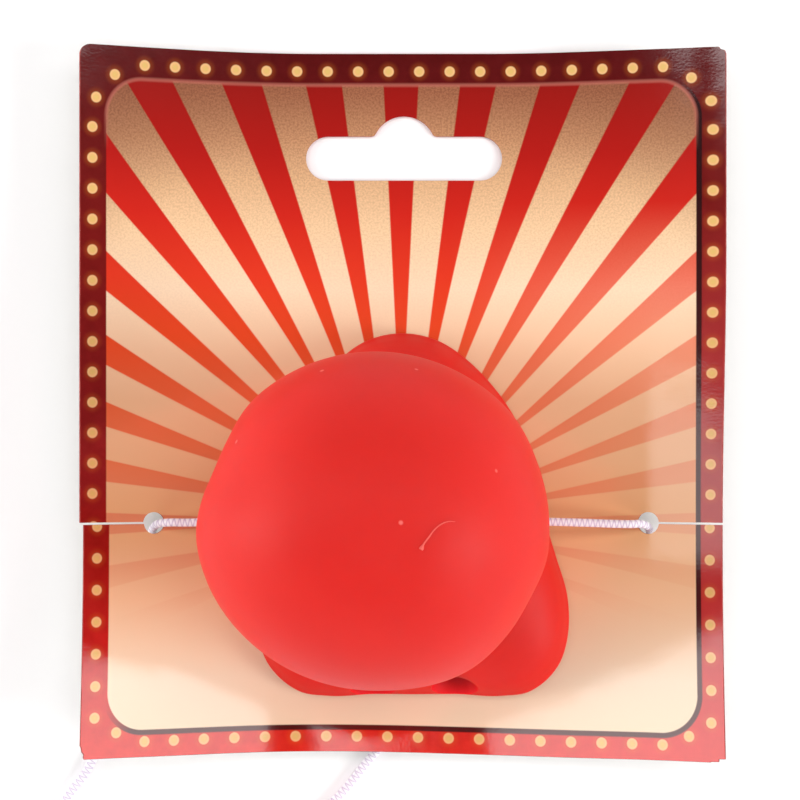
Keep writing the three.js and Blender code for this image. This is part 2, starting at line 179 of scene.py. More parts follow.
def tube(line, radius, sides):
    """A closed tube: at each point of the line a circle across its direction, and a point in each end.
    Also the share of a turn and the length along the line at each face corner."""
    ahead = np.gradient(line, axis=0)
    ahead /= np.linalg.norm(ahead, axis=1, keepdims=True)
    side = np.cross([0, 0, 1], ahead)
    side /= np.linalg.norm(side, axis=1, keepdims=True)
    up = np.cross(ahead, side)
    turn = 2 * np.pi * np.arange(sides) / sides
    radius = np.broadcast_to(radius, len(line))[:, None, None]
    rings = line[:, None] + radius * (np.cos(turn)[None, :, None] * side[:, None]
                                      + np.sin(turn)[None, :, None] * up[:, None])
    points = np.vstack([rings.reshape(-1, 3), line[:1], line[-1:]])
    faces, j, i = ring_faces(len(line), sides)
    k = np.arange(sides)
    last = (len(line) - 1) * sides
    caps = [[(a + 1) % sides, a, len(points) - 2] for a in k] + [
        [last + a, last + (a + 1) % sides, len(points) - 1] for a in k]
    length = np.concatenate([[0], np.cumsum(np.linalg.norm(np.diff(line, axis=0), axis=1))])
    around = np.stack([i, i + 1, i + 1, i], axis=1) / sides
    along = np.stack([length[j], length[j], length[j + 1], length[j + 1]], axis=1)
    corners = np.stack([around.ravel(), along.ravel()], axis=1)
    return points, faces.tolist() + caps, np.vstack([corners, np.zeros((6 * sides, 2))])


# Wound textured polyester yarn: dull white with a lilac cast, painted darker and more lilac in the grooves
# between the ribs as painted shade.
elastic_yarn, tree, surface = finish_of("elastic_yarn")
layout = add(tree, "UVMap", uv_map="yarn")
hands = add(tree, "SeparateXYZ", {0: layout})
left_hand = add(tree, "Math", {0: add(tree, "Math", {0: hands.outputs[0], 1: np.pi}, operation="MULTIPLY")},
                operation="SINE")
right_hand = add(tree, "Math", {0: add(tree, "Math", {0: hands.outputs[1], 1: np.pi}, operation="MULTIPLY")},
                 operation="SINE")
ribs = add(tree, "Math", {0: add(tree, "Math", {0: left_hand, 1: right_hand}, operation="MULTIPLY")},
           operation="ABSOLUTE")
fuzz = add(tree, "TexNoise", {"Vector": layout, "Scale": 9.0, "Detail": 3.0})
height = add(tree, "Math", {0: fuzz, 1: 0.25, 2: ribs}, operation="MULTIPLY_ADD")
# Painted shade: the colour darkens into the grooves between the ribs.
groove_painted_shade = add(tree, "ValToRGB", {0: ribs}, stops=[(0.0, "#C6B4CE"), (0.6, "#F6F2F7"), (0.25, "#E6DDEA")])
bumps = add(tree, "Bump", {"Height": height, "Strength": 0.6, "Distance": 0.05 * MM})
put(tree, surface, Base_Color=groove_painted_shade, Roughness=0.85, Normal=bumps, Sheen_Weight=0.2, Specular_IOR_Level=0.3)

cord_line = smooth_route(CORD_ROUTE, CORD_STEPS)
points, faces, turns = tube(cord_line, CORD_THICKNESS / 2, CORD_SIDES)
yarn = np.stack([turns[:, 1] / YARN_PITCH + YARN_STARTS * turns[:, 0],
                 turns[:, 1] / YARN_PITCH - YARN_STARTS * turns[:, 0]], axis=1)
elastic = piece("head_elastic", points, faces, [elastic_yarn], yarn, "yarn")
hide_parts("elastic_cord")

# ---- Knots
# Behind each side wall of the nose the elastic's end is tied in a knot, a small barrel of three turns that
# can't slip back through the hole.
KNOT_THICKNESS = 4
KNOT_LENGTH = 3.4
# Each knot's name, its end at the wall, the way inwards from there, and its y and z.
KNOTS = [("knot_left", -17.57, 1, -19.54, 5.69), ("knot_right", 19.74, -1, -19.54, 5.81)]
for name, start, inwards, y, z in KNOTS:
    share, turn = np.meshgrid(np.linspace(0, 1, 40), 2 * np.pi * np.arange(32) / 32, indexing="ij")
    # A barrel with rounded ends, ridged by three turns of the cord laid at a slant.
    bulge = (1 - np.abs(2 * share - 1) ** 5) ** 0.5
    ridge = 0.93 + 0.07 * np.cos(2 * np.pi * 3 * share + turn)
    reach_out = KNOT_THICKNESS / 2 * np.maximum(bulge * ridge, 0.02)
    grid = np.stack([start + inwards * KNOT_LENGTH * share, y + inwards * reach_out * np.cos(turn),
                     z + reach_out * np.sin(turn)], axis=2)
    faces, j, i = ring_faces(40, 32)
    corners = np.stack([np.stack([i, i + 1, i + 1, i], 1).ravel() / 2,
                        np.stack([j, j, j + 1, j + 1], 1).ravel() / 3], axis=1)
    ends = [list(range(31, -1, -1)), list(range(39 * 32, 40 * 32))]
    made = piece(name + "_tied", grid.reshape(-1, 3), faces.tolist() + ends, [elastic_yarn],
                 np.vstack([corners, np.zeros((64, 2))]), "yarn")
    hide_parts(name)

# ---- Card
# The display card is 0.6 mm gloss-coated board, die-cut and printed on its face. Its sides curl up, and below
# the two holes for the elastic its lower part bends up. A slit runs from each hole to the card's side.
CARD_WIDTH = 105
CARD_UPPER = 76.4                       # from the line of the holes to the top edge, along the sheet
CARD_LOWER = 37.1
CARD_THICKNESS = 0.6
FLAT_BAND = 24                          # the middle band lies on the table
CURL_RADIUS = 102
LOWER_SLOPE = np.radians(14)
HOLE_X = 40
CORD_HOLE = 3.5
SLIT_WIDTH = 0.35
SLOT_MIDDLE = (0.5, 59.3)
SLOT_WIDTH = 32
SLOT_HEIGHT = 7.2
BUMP_RADIUS = 5.2                       # the notch that centres the card on a hook
BUMP_RISE = 3.3
GRID_STEP = 1.4
LOWER_REACH = CARD_LOWER * np.cos(LOWER_SLOPE / 2)
TOP_Y = (CARD_UPPER + LOWER_REACH) / 2
HOLES_Y = TOP_Y - CARD_UPPER


def card_under(x, y):
    """Height of the card's underside: an arc beyond the flat band, plus a parabola below the holes' line."""
    past = np.maximum(0, np.abs(x) - FLAT_BAND / 2)
    below = np.maximum(0, HOLES_Y - y)
    bend = below ** 2 * np.tan(LOWER_SLOPE) / (2 * LOWER_REACH)
    return CURL_RADIUS - np.sqrt(CURL_RADIUS ** 2 - past ** 2) + bend


def eased(value, start, end):
    """0 before the start, 1 after the end, and a smooth step between them."""
    t = np.clip((value - start) / (end - start), 0, 1)
    return t * t * (3 - 2 * t)


def on_card(sheet):
    """Place of a point of the flat sheet, given across and along from the middle of the holes' line. Its
    corners pull up to 0.9 mm away from the even curl: bottom right and left down, top left up, right out. Below
    the left slit the side stands 0.6 mm further in."""
    across, along = sheet[:, 0], sheet[:, 1]
    past = np.maximum(0, np.abs(across) - FLAT_BAND / 2)
    x = np.sign(across) * (np.minimum(np.abs(across), FLAT_BAND / 2) + CURL_RADIUS * np.sin(past / CURL_RADIUS))
    y = HOLES_Y + np.where(along > 0, along, along * LOWER_REACH / CARD_LOWER)
    z = card_under(x, y) + CARD_THICKNESS
    down = np.clip(-along / CARD_LOWER, 0, 1)
    up = np.clip(along / CARD_UPPER, 0, 1)
    x = x + 0.62 * eased(across, 47, 52.5) * eased(along, 0, 45) + 0.5 * eased(-across, 30, 52.5) * down
    x = x + np.where(along < 0, 0.62 * eased(-across, 38, 52.5) * (1 - down), 0)
    y = y - down * (0.92 * eased(across, -12, 32) + 0.38 * eased(-across, 15, 42))
    y = y + up ** 3 * (0.75 * eased(-across, 15, 56) + 0.25 * eased(across, 15, 40))
    return np.stack([x, y, z], axis=1)


def arc(middle, radius, start, end, steps):
    """Points on a circle from one angle to another, in degrees."""
    turn = np.radians(np.linspace(start, end, steps))
    return np.stack([middle[0] + radius * np.cos(turn), middle[1] + radius * np.sin(turn)], axis=1)


def inside(points, loops):
    """True where a line from the point to the right crosses the loops' sides an odd number of times."""
    odd = np.zeros(len(points), bool)
    for loop in loops:
        a, b = loop, np.roll(loop, -1, axis=0)
        x, y = points[:, :1], points[:, 1:]
        spans = (a[:, 1] > y) != (b[:, 1] > y)
        climb = np.where(a[:, 1] == b[:, 1], 1, b[:, 1] - a[:, 1])
        reach = a[:, 0] + (y - a[:, 1]) * (b[:, 0] - a[:, 0]) / climb
        odd ^= (spans & (x < reach)).sum(axis=1) % 2 == 1
    return odd


# The outline runs round by the right: bottom edge, worn corners, and in at each slit, round its hole and out.
half = SLIT_WIDTH / 2
hole_s = FLAT_BAND / 2 + CURL_RADIUS * np.arcsin((HOLE_X - FLAT_BAND / 2) / CURL_RADIUS)
gape = np.degrees(np.arcsin(half / (CORD_HOLE / 2)))
side = CARD_WIDTH / 2
outline = np.vstack([
    [[-side + 0.75, -CARD_LOWER], [side - 2.6, -CARD_LOWER], [side - 2.3, -CARD_LOWER + 0.1],
     [side - 1.1, -CARD_LOWER + 0.15], [side - 1.05, -CARD_LOWER + 0.55], [side - 0.1, -CARD_LOWER + 0.6]],
    [[side, -CARD_LOWER + 0.75], [side, -half]],
    arc((hole_s, 0), CORD_HOLE / 2, -gape, -360 + gape, 40),
    [[side, half], [side, CARD_UPPER - 1.1], [side - 0.25, CARD_UPPER - 0.55]],
    [[side - 0.9, CARD_UPPER - 0.35], [side - 1.1, CARD_UPPER]],
    arc((-side + 1.7, CARD_UPPER - 1.7), 1.7, 90, 180, 9),
    [[-side, half]],
    arc((-hole_s, 0), CORD_HOLE / 2, 180 - gape, -180 + gape, 40),
    [[-side, -half], [-side, -CARD_LOWER + 2.2], [-side + 0.18, -CARD_LOWER + 1.85],
     [-side + 0.3, -CARD_LOWER + 1.2], [-side + 0.66, -CARD_LOWER + 0.75], [-side + 0.6, -CARD_LOWER + 0.3]],
])
# The hang slot: a long slot with a round notch in its upper side, whose corners are a little rounded.
slot_x, slot_y = SLOT_MIDDLE
end = SLOT_HEIGHT / 2
notch_y = slot_y + end + BUMP_RISE - BUMP_RADIUS
notch_low = np.degrees(np.arcsin((slot_y + end + 0.5 - notch_y) / BUMP_RADIUS))
notch_half = BUMP_RADIUS * np.cos(np.radians(notch_low))
hang_slot = np.vstack([
    arc((slot_x - SLOT_WIDTH / 2 + end, slot_y), end, 270, 90, 24),
    [[slot_x - notch_half - 0.75, slot_y + end], [slot_x - notch_half - 0.25, slot_y + end + 0.13]],
    arc((slot_x, notch_y), BUMP_RADIUS, 180 - notch_low, notch_low, 22),
    [[slot_x + notch_half + 0.25, slot_y + end + 0.13], [slot_x + notch_half + 0.75, slot_y + end]],
    arc((slot_x + SLOT_WIDTH / 2 - end, slot_y), end, 90, -90, 24),
])


def fine(loop, step=1.2):
    """The loop with its long sides cut into pieces no longer than the step."""
    after = np.roll(loop, -1, axis=0)
    parts = [a + (b - a) * np.linspace(0, 1, max(2, int(np.ceil(np.linalg.norm(b - a) / step)) + 1))[:-1, None]
             for a, b in zip(loop, after)]
    return np.vstack(parts)


loops = [fine(outline), fine(hang_slot)]
rim_points = np.vstack(loops)
columns = np.arange(-side, side, GRID_STEP)
rows = np.arange(-CARD_LOWER, CARD_UPPER, GRID_STEP)
grid = np.stack(np.meshgrid(columns, rows), axis=2).reshape(-1, 2)
clear = np.linalg.norm(grid[:, None] - rim_points[None], axis=2).min(axis=1) > 0.55 * GRID_STEP
grid = grid[clear & inside(grid, loops)]
starts = np.cumsum([0] + [len(loop) for loop in loops])
rim_edges = [(int(s + k), int(s + (k + 1) % len(loop)))
             for s, loop in zip(starts, loops) for k in range(len(loop))]
flat, _, triangles, _, _, _ = delaunay_2d_cdt([Vector(p) for p in np.vstack([rim_points, grid])], rim_edges, [],
                                              0, 1e-5)
flat = np.array([tuple(p) for p in flat])
triangles = np.array(triangles)
triangles = triangles[inside(flat[triangles].mean(axis=1), loops)]
a, b, c = [flat[triangles[:, k]] for k in range(3)]
turned = np.cross(b - a, c - a) < 0
triangles[turned] = triangles[turned][:, ::-1]

# What is printed, in millimetres of the flat sheet: 36 rays from the middle of the holes' line, a frame with
# rounded inner corners, and a bulb every 5 mm round the frame. Right and left are alike.
PANEL_HALF = (48.2, 52.1)
PANEL_MIDDLE = 19.2
PANEL_CORNER = 6
BULB = 1.62
# Rows of bulbs: side by side (0) or one above the other (1), the first one's place, their pitch and number.
BULB_ROWS = [(0, -41.86, 73.5, 4.981, 18), (0, -41.80, -34.75, 4.95, 18), (1, -50.5, 4.86, 4.881, 13),
             (1, 50.62, 4.67, 4.879, 13), (1, -50.3, -25.87, 5.084, 6), (1, 50.5, -26.1, 5.09, 6)]
BULB_CORNERS = [(-46.77, 71.8), (47.45, 71.6), (-49.86, 68.1), (50.35, 67.8), (-50.3, -30.8), (50.4, -31.1),
                (-46.6, -33.2), (46.7, -33.3)]
SHEET_HEIGHTS = (-37.1, 76.4)           # heights on the sheet that the colour stops below run between


def stops_of(rows):
    """Colour stops from heights on the sheet."""
    low, high = SHEET_HEIGHTS
    return [((row - low) / (high - low), colour) for row, colour in rows]


# Offset print under gloss varnish on white board. The varnish mirrors the lamps sharply, a little rippled by
# the board, and the print under it is dull. The tan corners carry a printed paper grain.
printed_face, tree, surface = finish_of("varnished_print")
layout = add(tree, "UVMap", uv_map="sheet")
place = add(tree, "SeparateXYZ", {0: layout})
across, along = place.outputs[0], place.outputs[1]
rise = add(tree, "MapRange", {"Value": along, "From Min": SHEET_HEIGHTS[0], "From Max": SHEET_HEIGHTS[1]})
radius = add(tree, "VectorMath", {0: layout}, operation="LENGTH").outputs["Value"]
grain = add(tree, "TexNoise", {"Vector": layout, "Scale": 3.0, "Detail": 3.0, "Roughness": 0.6})

ground = add(tree, "ValToRGB", {0: rise}, stops=stops_of([
    (-37, "#F0D3B2"), (76, "#9E644A"), (-25, "#ECD8BB"), (-12, "#F0C59B"), (0, "#E1B07C"), (10, "#E4B689"),
    (20, "#E6B88F"), (28, "#F2C9A3"), (38, "#FBDFBD"), (48, "#F6D0A4"), (55, "#E6B98C"), (62, "#CB966E"),
    (70, "#AC6F50")]))
corner = add(tree, "MapRange", {"Value": radius, "From Min": 64.0, "From Max": 92.0, "To Max": 0.85})
ground = add(tree, "Mix", {"Factor": corner, "A": ground, "B": "#85503A"}, data_type="RGBA")
grainy = add(tree, "MapRange", {"Value": along, "From Min": 30.0, "From Max": 66.0, "To Max": 0.35})
speckle = add(tree, "MapRange", {"Value": grain, "From Min": 0.40, "From Max": 0.62})
speckle = add(tree, "Math", {0: speckle, 1: grainy}, operation="MULTIPLY")
ground = add(tree, "Mix", {"Factor": speckle, "A": ground, "B": "#6E4534"}, data_type="RGBA",
             blend_type="MULTIPLY")

angle = add(tree, "Math", {0: add(tree, "TexGradient", {0: layout}, gradient_type="RADIAL").outputs["Fac"],
                           1: 36.0}, operation="MULTIPLY")
off_ray = add(tree, "Math", {0: angle, 1: 0.5}, operation="PINGPONG")
off_ray = add(tree, "Math", {0: add(tree, "Math", {0: off_ray, 1: 2 * np.pi / 36}, operation="MULTIPLY"),
                             1: radius}, operation="MULTIPLY")
ray_half = add(tree, "Math", {0: radius, 1: 0.049, 2: -0.637}, operation="MULTIPLY_ADD")
ray = add(tree, "MapRange", {"Value": add(tree, "Math", {0: ray_half, 1: off_ray}, operation="SUBTRACT"),
                             "From Min": -0.1, "From Max": 0.1})
shown = add(tree, "MapRange", {"Value": along, "From Min": -17.0, "From Max": 2.0},
            interpolation_type="SMOOTHSTEP")
ray = add(tree, "Math", {0: ray, 1: shown}, operation="MULTIPLY")
# On the right, low down, the rays are painted thinner so that the card looks paler there: painted reflection of
# the glare of the lamp to the left, which the raised right side mirrors.
right = add(tree, "MapRange", {"Value": across, "From Min": 8.0, "From Max": 42.0, "To Max": 0.45})
low = add(tree, "MapRange", {"Value": along, "From Min": 52.0, "From Max": 24.0})
ray_glare_thinning = add(tree, "Math", {0: 1.0, 1: add(tree, "Math", {0: right, 1: low}, operation="MULTIPLY")},
           operation="SUBTRACT")
ray = add(tree, "Math", {0: ray, 1: ray_glare_thinning}, operation="MULTIPLY")
ray_colour = add(tree, "ValToRGB", {0: rise}, stops=stops_of([
    (-37, "#E0A782"), (76, "#7E140F"), (-12, "#E59E7A"), (0, "#DA8D66"), (10, "#DC784E"), (20, "#E0623A"),
    (30, "#E64C24"), (40, "#E03A22"), (50, "#CC261B"), (60, "#B01A15"), (70, "#981712")]))
panel = add(tree, "Mix", {"Factor": ray, "A": ground, "B": ray_colour}, data_type="RGBA")

folded = add(tree, "VectorMath", {0: add(tree, "VectorMath", {0: layout, 1: (0, PANEL_MIDDLE, 0)},
                                         operation="SUBTRACT")}, operation="ABSOLUTE")
straight = (PANEL_HALF[0] - PANEL_CORNER, PANEL_HALF[1] - PANEL_CORNER, 0)
beyond = add(tree, "VectorMath", {0: folded, 1: straight}, operation="SUBTRACT")
beyond = add(tree, "VectorMath", {0: beyond, 1: (0, 0, 0)}, operation="MAXIMUM")
outside = add(tree, "Math", {0: add(tree, "VectorMath", {0: beyond}, operation="LENGTH").outputs["Value"],
                             1: PANEL_CORNER}, operation="SUBTRACT")
frame_colour = add(tree, "ValToRGB", {0: rise}, stops=stops_of([
    (-37, "#DC2A1C"), (76, "#5A0F10"), (-28, "#CC241A"), (-20, "#BC1A16"), (-10, "#A41812"), (-2, "#921712"),
    (6, "#87181A"), (25, "#841818"), (45, "#7A1614"), (60, "#6C1413"), (68, "#641212")]))
mottle = add(tree, "TexNoise", {"Vector": layout, "Scale": 0.35, "Detail": 6.0, "Roughness": 0.65})
frame_colour = add(tree, "Mix", {"Factor": add(tree, "MapRange", {
    "Value": mottle, "From Min": 0.35, "From Max": 0.75, "To Max": 0.5}), "A": frame_colour, "B": "#C8807A"},
    data_type="RGBA", blend_type="MULTIPLY")
# On the right, low down, the frame is painted paler: painted reflection of the glare of the lamp to the left,
# which the raised right side mirrors.
frame_glare_paling = add(tree, "MapRange", {"Value": across, "From Min": 0.0, "From Max": 50.0, "To Max": 0.4})
frame_glare_paling = add(tree, "Math", {0: frame_glare_paling, 1: low}, operation="MULTIPLY")
frame_colour = add(tree, "Mix", {"Factor": frame_glare_paling, "A": frame_colour, "B": "#D04646"}, data_type="RGBA")

bulb = 9.0
for direction, first_across, first_along, pitch, number in BULB_ROWS:
    # Along the row the distance is to the nearest bulb of those that the row has, across it to the row.
    first, row = (first_across, first_along) if direction == 0 else (first_along, first_across)
    step = add(tree, "Math", {0: add(tree, "Math", {0: place.outputs[direction], 1: first},
                                     operation="SUBTRACT"), 1: pitch}, operation="DIVIDE")
    nearest = add(tree, "Clamp", {"Value": add(tree, "Math", {0: step}, operation="ROUND"),
                                  "Max": number - 1.0})
    off = add(tree, "Math", {0: add(tree, "Math", {0: step, 1: nearest}, operation="SUBTRACT"), 1: pitch},
              operation="MULTIPLY")
    aside = add(tree, "Math", {0: place.outputs[1 - direction], 1: row}, operation="SUBTRACT")
    off = add(tree, "VectorMath", {0: add(tree, "CombineXYZ", {0: off, 1: aside})}, operation="LENGTH")
    bulb = add(tree, "Math", {0: off.outputs["Value"], 1: bulb}, operation="MINIMUM")
for middle in BULB_CORNERS:
    off = add(tree, "VectorMath", {0: layout, 1: (*middle, 0)}, operation="DISTANCE").outputs["Value"]
    bulb = add(tree, "Math", {0: off, 1: bulb}, operation="MINIMUM")
halo = add(tree, "MapRange", {"Value": bulb, "From Min": BULB / 2, "From Max": 2.0, "To Min": 0.16,
                              "To Max": 0.0}, interpolation_type="SMOOTHERSTEP")
frame_colour = add(tree, "Mix", {"Factor": halo, "A": frame_colour, "B": "#D06A24"}, data_type="RGBA")
lit = add(tree, "MapRange", {"Value": bulb, "From Min": BULB / 2 + 0.12, "From Max": BULB / 2 - 0.06})
lamp = add(tree, "ValToRGB", {0: bulb}, stops=[(0.0, "#DDBB6C"), (0.72, "#EDBC82"), (0.42, "#E0B570")])
frame_colour = add(tree, "Mix", {"Factor": lit, "A": frame_colour, "B": lamp}, data_type="RGBA")

# A soft light line along the panel's top, and a dark one along its right and bottom.
lean = add(tree, "VectorMath", {0: add(tree, "VectorMath", {0: layout, 1: (0, PANEL_MIDDLE, 0)},
                                       operation="SUBTRACT"), 1: (-PANEL_HALF[1], PANEL_HALF[0], 0)},
           operation="DOT_PRODUCT").outputs["Value"]
lean = add(tree, "MapRange", {"Value": lean, "From Min": -200.0, "From Max": 200.0})
is_frame = add(tree, "MapRange", {"Value": outside, "From Min": -0.08, "From Max": 0.08})
dark_line = add(tree, "MapRange", {"Value": outside, "From Min": 0.92, "From Max": 0.74, "To Max": 0.9})
dark_line = add(tree, "Math", {0: dark_line, 1: add(tree, "Math", {0: 1.0, 1: lean}, operation="SUBTRACT")},
                operation="MULTIPLY")
frame_colour = add(tree, "Mix", {"Factor": dark_line, "A": frame_colour, "B": "#1E0B0D"}, data_type="RGBA")
print_colour = add(tree, "Mix", {"Factor": is_frame, "A": panel, "B": frame_colour}, data_type="RGBA")
near_edge = add(tree, "Math", {0: outside}, operation="ABSOLUTE")
light_line = add(tree, "MapRange", {"Value": near_edge, "From Min": 0.5, "From Max": 0.05, "To Max": 0.6},
                 interpolation_type="SMOOTHSTEP")
high = add(tree, "MapRange", {"Value": along, "From Min": 60.0, "From Max": 67.0})
light_line = add(tree, "Math", {0: light_line, 1: high}, operation="MULTIPLY")
print_colour = add(tree, "Mix", {"Factor": light_line, "A": print_colour, "B": "#BC6A5C"}, data_type="RGBA")

ripple = add(tree, "TexNoise", {"Vector": layout, "Scale": 0.12, "Detail": 2.0})
peel = add(tree, "TexNoise", {"Vector": layout, "Scale": 2.4, "Detail": 2.0})
relief = add(tree, "Math", {0: ripple, 1: 6.0, 2: peel}, operation="MULTIPLY_ADD")
waves = add(tree, "Bump", {"Height": relief, "Strength": 0.35, "Distance": 0.012 * MM})
put(tree, surface, Base_Color=print_colour, Roughness=0.6, Specular_IOR_Level=0.0, Coat_Weight=1.0,
    Coat_Roughness=0.075, Coat_IOR=1.65, Coat_Normal=waves)

# The back is bare grey-white board with short fibres in it.
board_back, tree, surface = finish_of("bare_board")
where = add(tree, "TexCoord").outputs["Object"]
fibres = add(tree, "TexNoise", {"Vector": where, "Scale": 900.0, "Detail": 5.0, "Roughness": 0.7})
tone = add(tree, "ValToRGB", {0: fibres}, stops=[(0.3, "#C9C3B8"), (0.7, "#E6E2DA")])
put(tree, surface, Base_Color=tone, Roughness=0.9,
    Normal=add(tree, "Bump", {"Height": fibres, "Strength": 0.3, "Distance": 0.03 * MM}))

# The cut edge shows red ink drawn over it by the knife, worn paler in places.
cut_edge, tree, surface = finish_of("die_cut_edge")
where = add(tree, "TexCoord").outputs["Object"]
wear = add(tree, "TexNoise", {"Vector": where, "Scale": 300.0, "Detail": 4.0, "Roughness": 0.7})
tone = add(tree, "ValToRGB", {0: wear}, stops=[(0.45, "#8E1612"), (0.72, "#BC584E")])
put(tree, surface, Base_Color=tone, Roughness=0.85)

card = piece("display_card", on_card(flat), triangles, [printed_face, board_back, cut_edge],
             flat[triangles].reshape(-1, 2), "sheet")
board = card.modifiers.new("board", "SOLIDIFY")
board.thickness = CARD_THICKNESS * MM
board.offset = -1
board.material_offset = 1
board.material_offset_rim = 2
settle(card, 40)
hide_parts("card")

# ---- Nose
# One piece of soft PVC, cast hollow in a mould: a ball on a flared base that is open at the back for the
# wearer's nose. It lies on the card, and the elastic passes through its side walls.
GAP = 0.35
WALL = 1.8
BASE_HALF = (26.2, 29.2)
BASE_SKEW = -1
BASE_MIDDLE = (1.2, HOLES_Y + 1.5)
NECK_Z = CARD_THICKNESS + GAP + 13.6    # height of the crease between base and ball
BALL_HALF = (27, 25.7, 26)
BALL_ABOVE_NECK = 16.5
BALL_LEAN = -5.3
NECK_LEAN = 0.5
DOME_RISE = 5.5
NOSTRIL_HALF = (3.8, 2.5)
NOSTRIL_SPACING = 13
NOSTRIL_MIDDLE = 2.13
NOSTRIL_Z = 7.0
NOSTRIL_REACH = (-50, -39.5)            # the cut runs from outside the wall into the pocket
EAR_HOLE = 2.2                          # where the elastic passes the side walls
EAR_HOLES = [(-20.5, 5.69), (22.9, 5.81)]
AIR_HOLE = 9
AROUND = 256
# Reach of the base's outline in each direction, right half, as a share of its half width and half height.
BASE_OUTLINE = [
    (-90, 1.000), (-75, 1.034), (-62, 1.142), (-54, 1.214), (-44, 1.228), (-36, 1.180), (-26, 1.076),
    (-16, 0.948), (-7, 0.872), (2, 0.840), (14, 0.826), (25, 0.835), (37, 0.860), (46, 0.880), (55, 0.905),
    (65, 0.940), (77, 0.984), (90, 1.000),
]
# Dents and bulges of the soft ball round its widest ring.
BALL_OUTLINE = [
    (0, 0.982), (20, 0.977), (38, 0.996), (60, 1.000), (90, 1.003), (120, 0.995), (135, 0.987), (150, 0.955),
    (162, 0.951), (172, 0.976), (184, 1.004), (200, 1.006), (215, 1.002), (230, 0.998), (255, 0.998),
    (275, 1.004), (300, 1.030), (318, 1.008), (332, 0.990), (347, 0.996),
]
# The base from rim to crease: share of the height, share of the size, and how far it has turned into the ball.
BASE_SECTIONS = np.array([
    (0.00, 1.000, 0.00), (0.12, 1.000, 0.00), (0.20, 0.984, 0.00), (0.34, 0.962, 0.02), (0.50, 0.928, 0.06),
    (0.66, 0.882, 0.16), (0.80, 0.832, 0.38), (0.92, 0.790, 0.74), (1.00, 0.770, 1.00),
])
DOME_SECTIONS = [(0.42, 0.93), (0.74, 0.78), (0.93, 0.58), (1.00, 0.38)]


def smooth_table(places, values, at):
    """A cubic through the table's rows whose slope at a row is that between its two neighbours."""
    slope = np.gradient(values, places, edge_order=1)
    slope[1:-1] = (values[2:] - values[:-2]) / (places[2:] - places[:-2])
    k = np.clip(np.searchsorted(places, at, side="right") - 1, 0, len(places) - 2)
    span = places[k + 1] - places[k]
    t = (at - places[k]) / span
    return ((2 * t ** 3 - 3 * t ** 2 + 1) * values[k] + (t ** 3 - 2 * t ** 2 + t) * slope[k] * span
            + (3 * t ** 2 - 2 * t ** 3) * values[k + 1] + (t ** 3 - t ** 2) * slope[k + 1] * span)


def reach_at(rows, at):
    """The outline table's reach in any direction, read round and round."""
    rows = np.array(rows, float)
    rounds = np.vstack([rows - [360, 0], rows, rows + [360, 0]])
    return smooth_table(rounds[:, 0], rounds[:, 1], at)


base_rows = BASE_OUTLINE + [(180 - at, reach) for at, reach in BASE_OUTLINE[-2:0:-1]]
at = 360 * np.arange(AROUND) / AROUND
across_at, up_at = np.cos(np.radians(at)), np.sin(np.radians(at))
base_reach, ball_reach = reach_at(base_rows, at), reach_at(BALL_OUTLINE, at)
NECK_LATITUDE = -np.arcsin(BALL_ABOVE_NECK / BALL_HALF[2])
BALL_Z = NECK_Z + BALL_ABOVE_NECK


def ball_middle(z):
    """Middle of the ball's ring at a height: the ball leans to the left as it rises from the crease."""
    share = NECK_LEAN + (1 - NECK_LEAN) * np.minimum(1, (z - NECK_Z) / BALL_ABOVE_NECK)
    return np.stack([BASE_MIDDLE[0] + BALL_LEAN * share, np.full_like(share, BASE_MIDDLE[1])], axis=-1)


def ball_rings(latitudes, inset=0.0):
    """Rings of the ball: an ellipsoid whose level rings follow the outline table, drawn in by the inset."""
    level = np.cos(latitudes)[:, None]
    reach = 1 + (ball_reach - 1) * level
    z = np.broadcast_to((BALL_Z + (BALL_HALF[2] - inset) * np.sin(latitudes))[:, None], reach.shape)
    middle = ball_middle(z)
    return np.stack([middle[..., 0] + (BALL_HALF[0] * reach - inset) * level * across_at,
                     middle[..., 1] + (BALL_HALF[1] * reach - inset) * level * up_at, z], axis=2)


def base_rings(rises, inset=0.0):
    """Rings of the base: the outline table's shape, shrinking and turning into the ball's lowest ring as it
    rises from a rim that follows the card."""
    size = smooth_table(BASE_SECTIONS[:, 0], BASE_SECTIONS[:, 1], rises)[:, None]
    turned = np.clip(smooth_table(BASE_SECTIONS[:, 0], BASE_SECTIONS[:, 2], rises), 0, 1)[:, None]
    reach = size * base_reach
    rim_x = BASE_MIDDLE[0] + BASE_HALF[0] * reach * across_at + BASE_SKEW * reach * up_at
    rim_y = BASE_MIDDLE[1] + BASE_HALF[1] * reach * up_at
    neck = ball_rings(np.array([NECK_LATITUDE]))[0]
    middle_x = BASE_MIDDLE[0] + (ball_middle(np.array([NECK_Z]))[0, 0] - BASE_MIDDLE[0]) * turned
    x = rim_x + (neck[:, 0] - rim_x) * turned
    y = rim_y + (neck[:, 1] - rim_y) * turned
    inward = np.broadcast_to(inset, size.shape) / np.hypot(x - middle_x, y - BASE_MIDDLE[1])
    x, y = x + (middle_x - x) * inward, y + (BASE_MIDDLE[1] - y) * inward
    rim_z = card_under(x, y) + CARD_THICKNESS + GAP
    return np.stack([x, y, rim_z + (NECK_Z - rim_z) * rises[:, None]], axis=2)


def dome_rings(lift):
    """Rings of the pocket's roof, from the crease up to the flat seat of the squeaker."""
    neck = base_rings(np.array([1.0]), WALL)[0]
    middle = ball_middle(np.array([NECK_Z]))[0]
    return np.stack([np.column_stack([middle + (neck[:, :2] - middle) * reach,
                                      np.full(AROUND, NECK_Z + DOME_RISE * rise + lift)])
                     for rise, reach in DOME_SECTIONS])


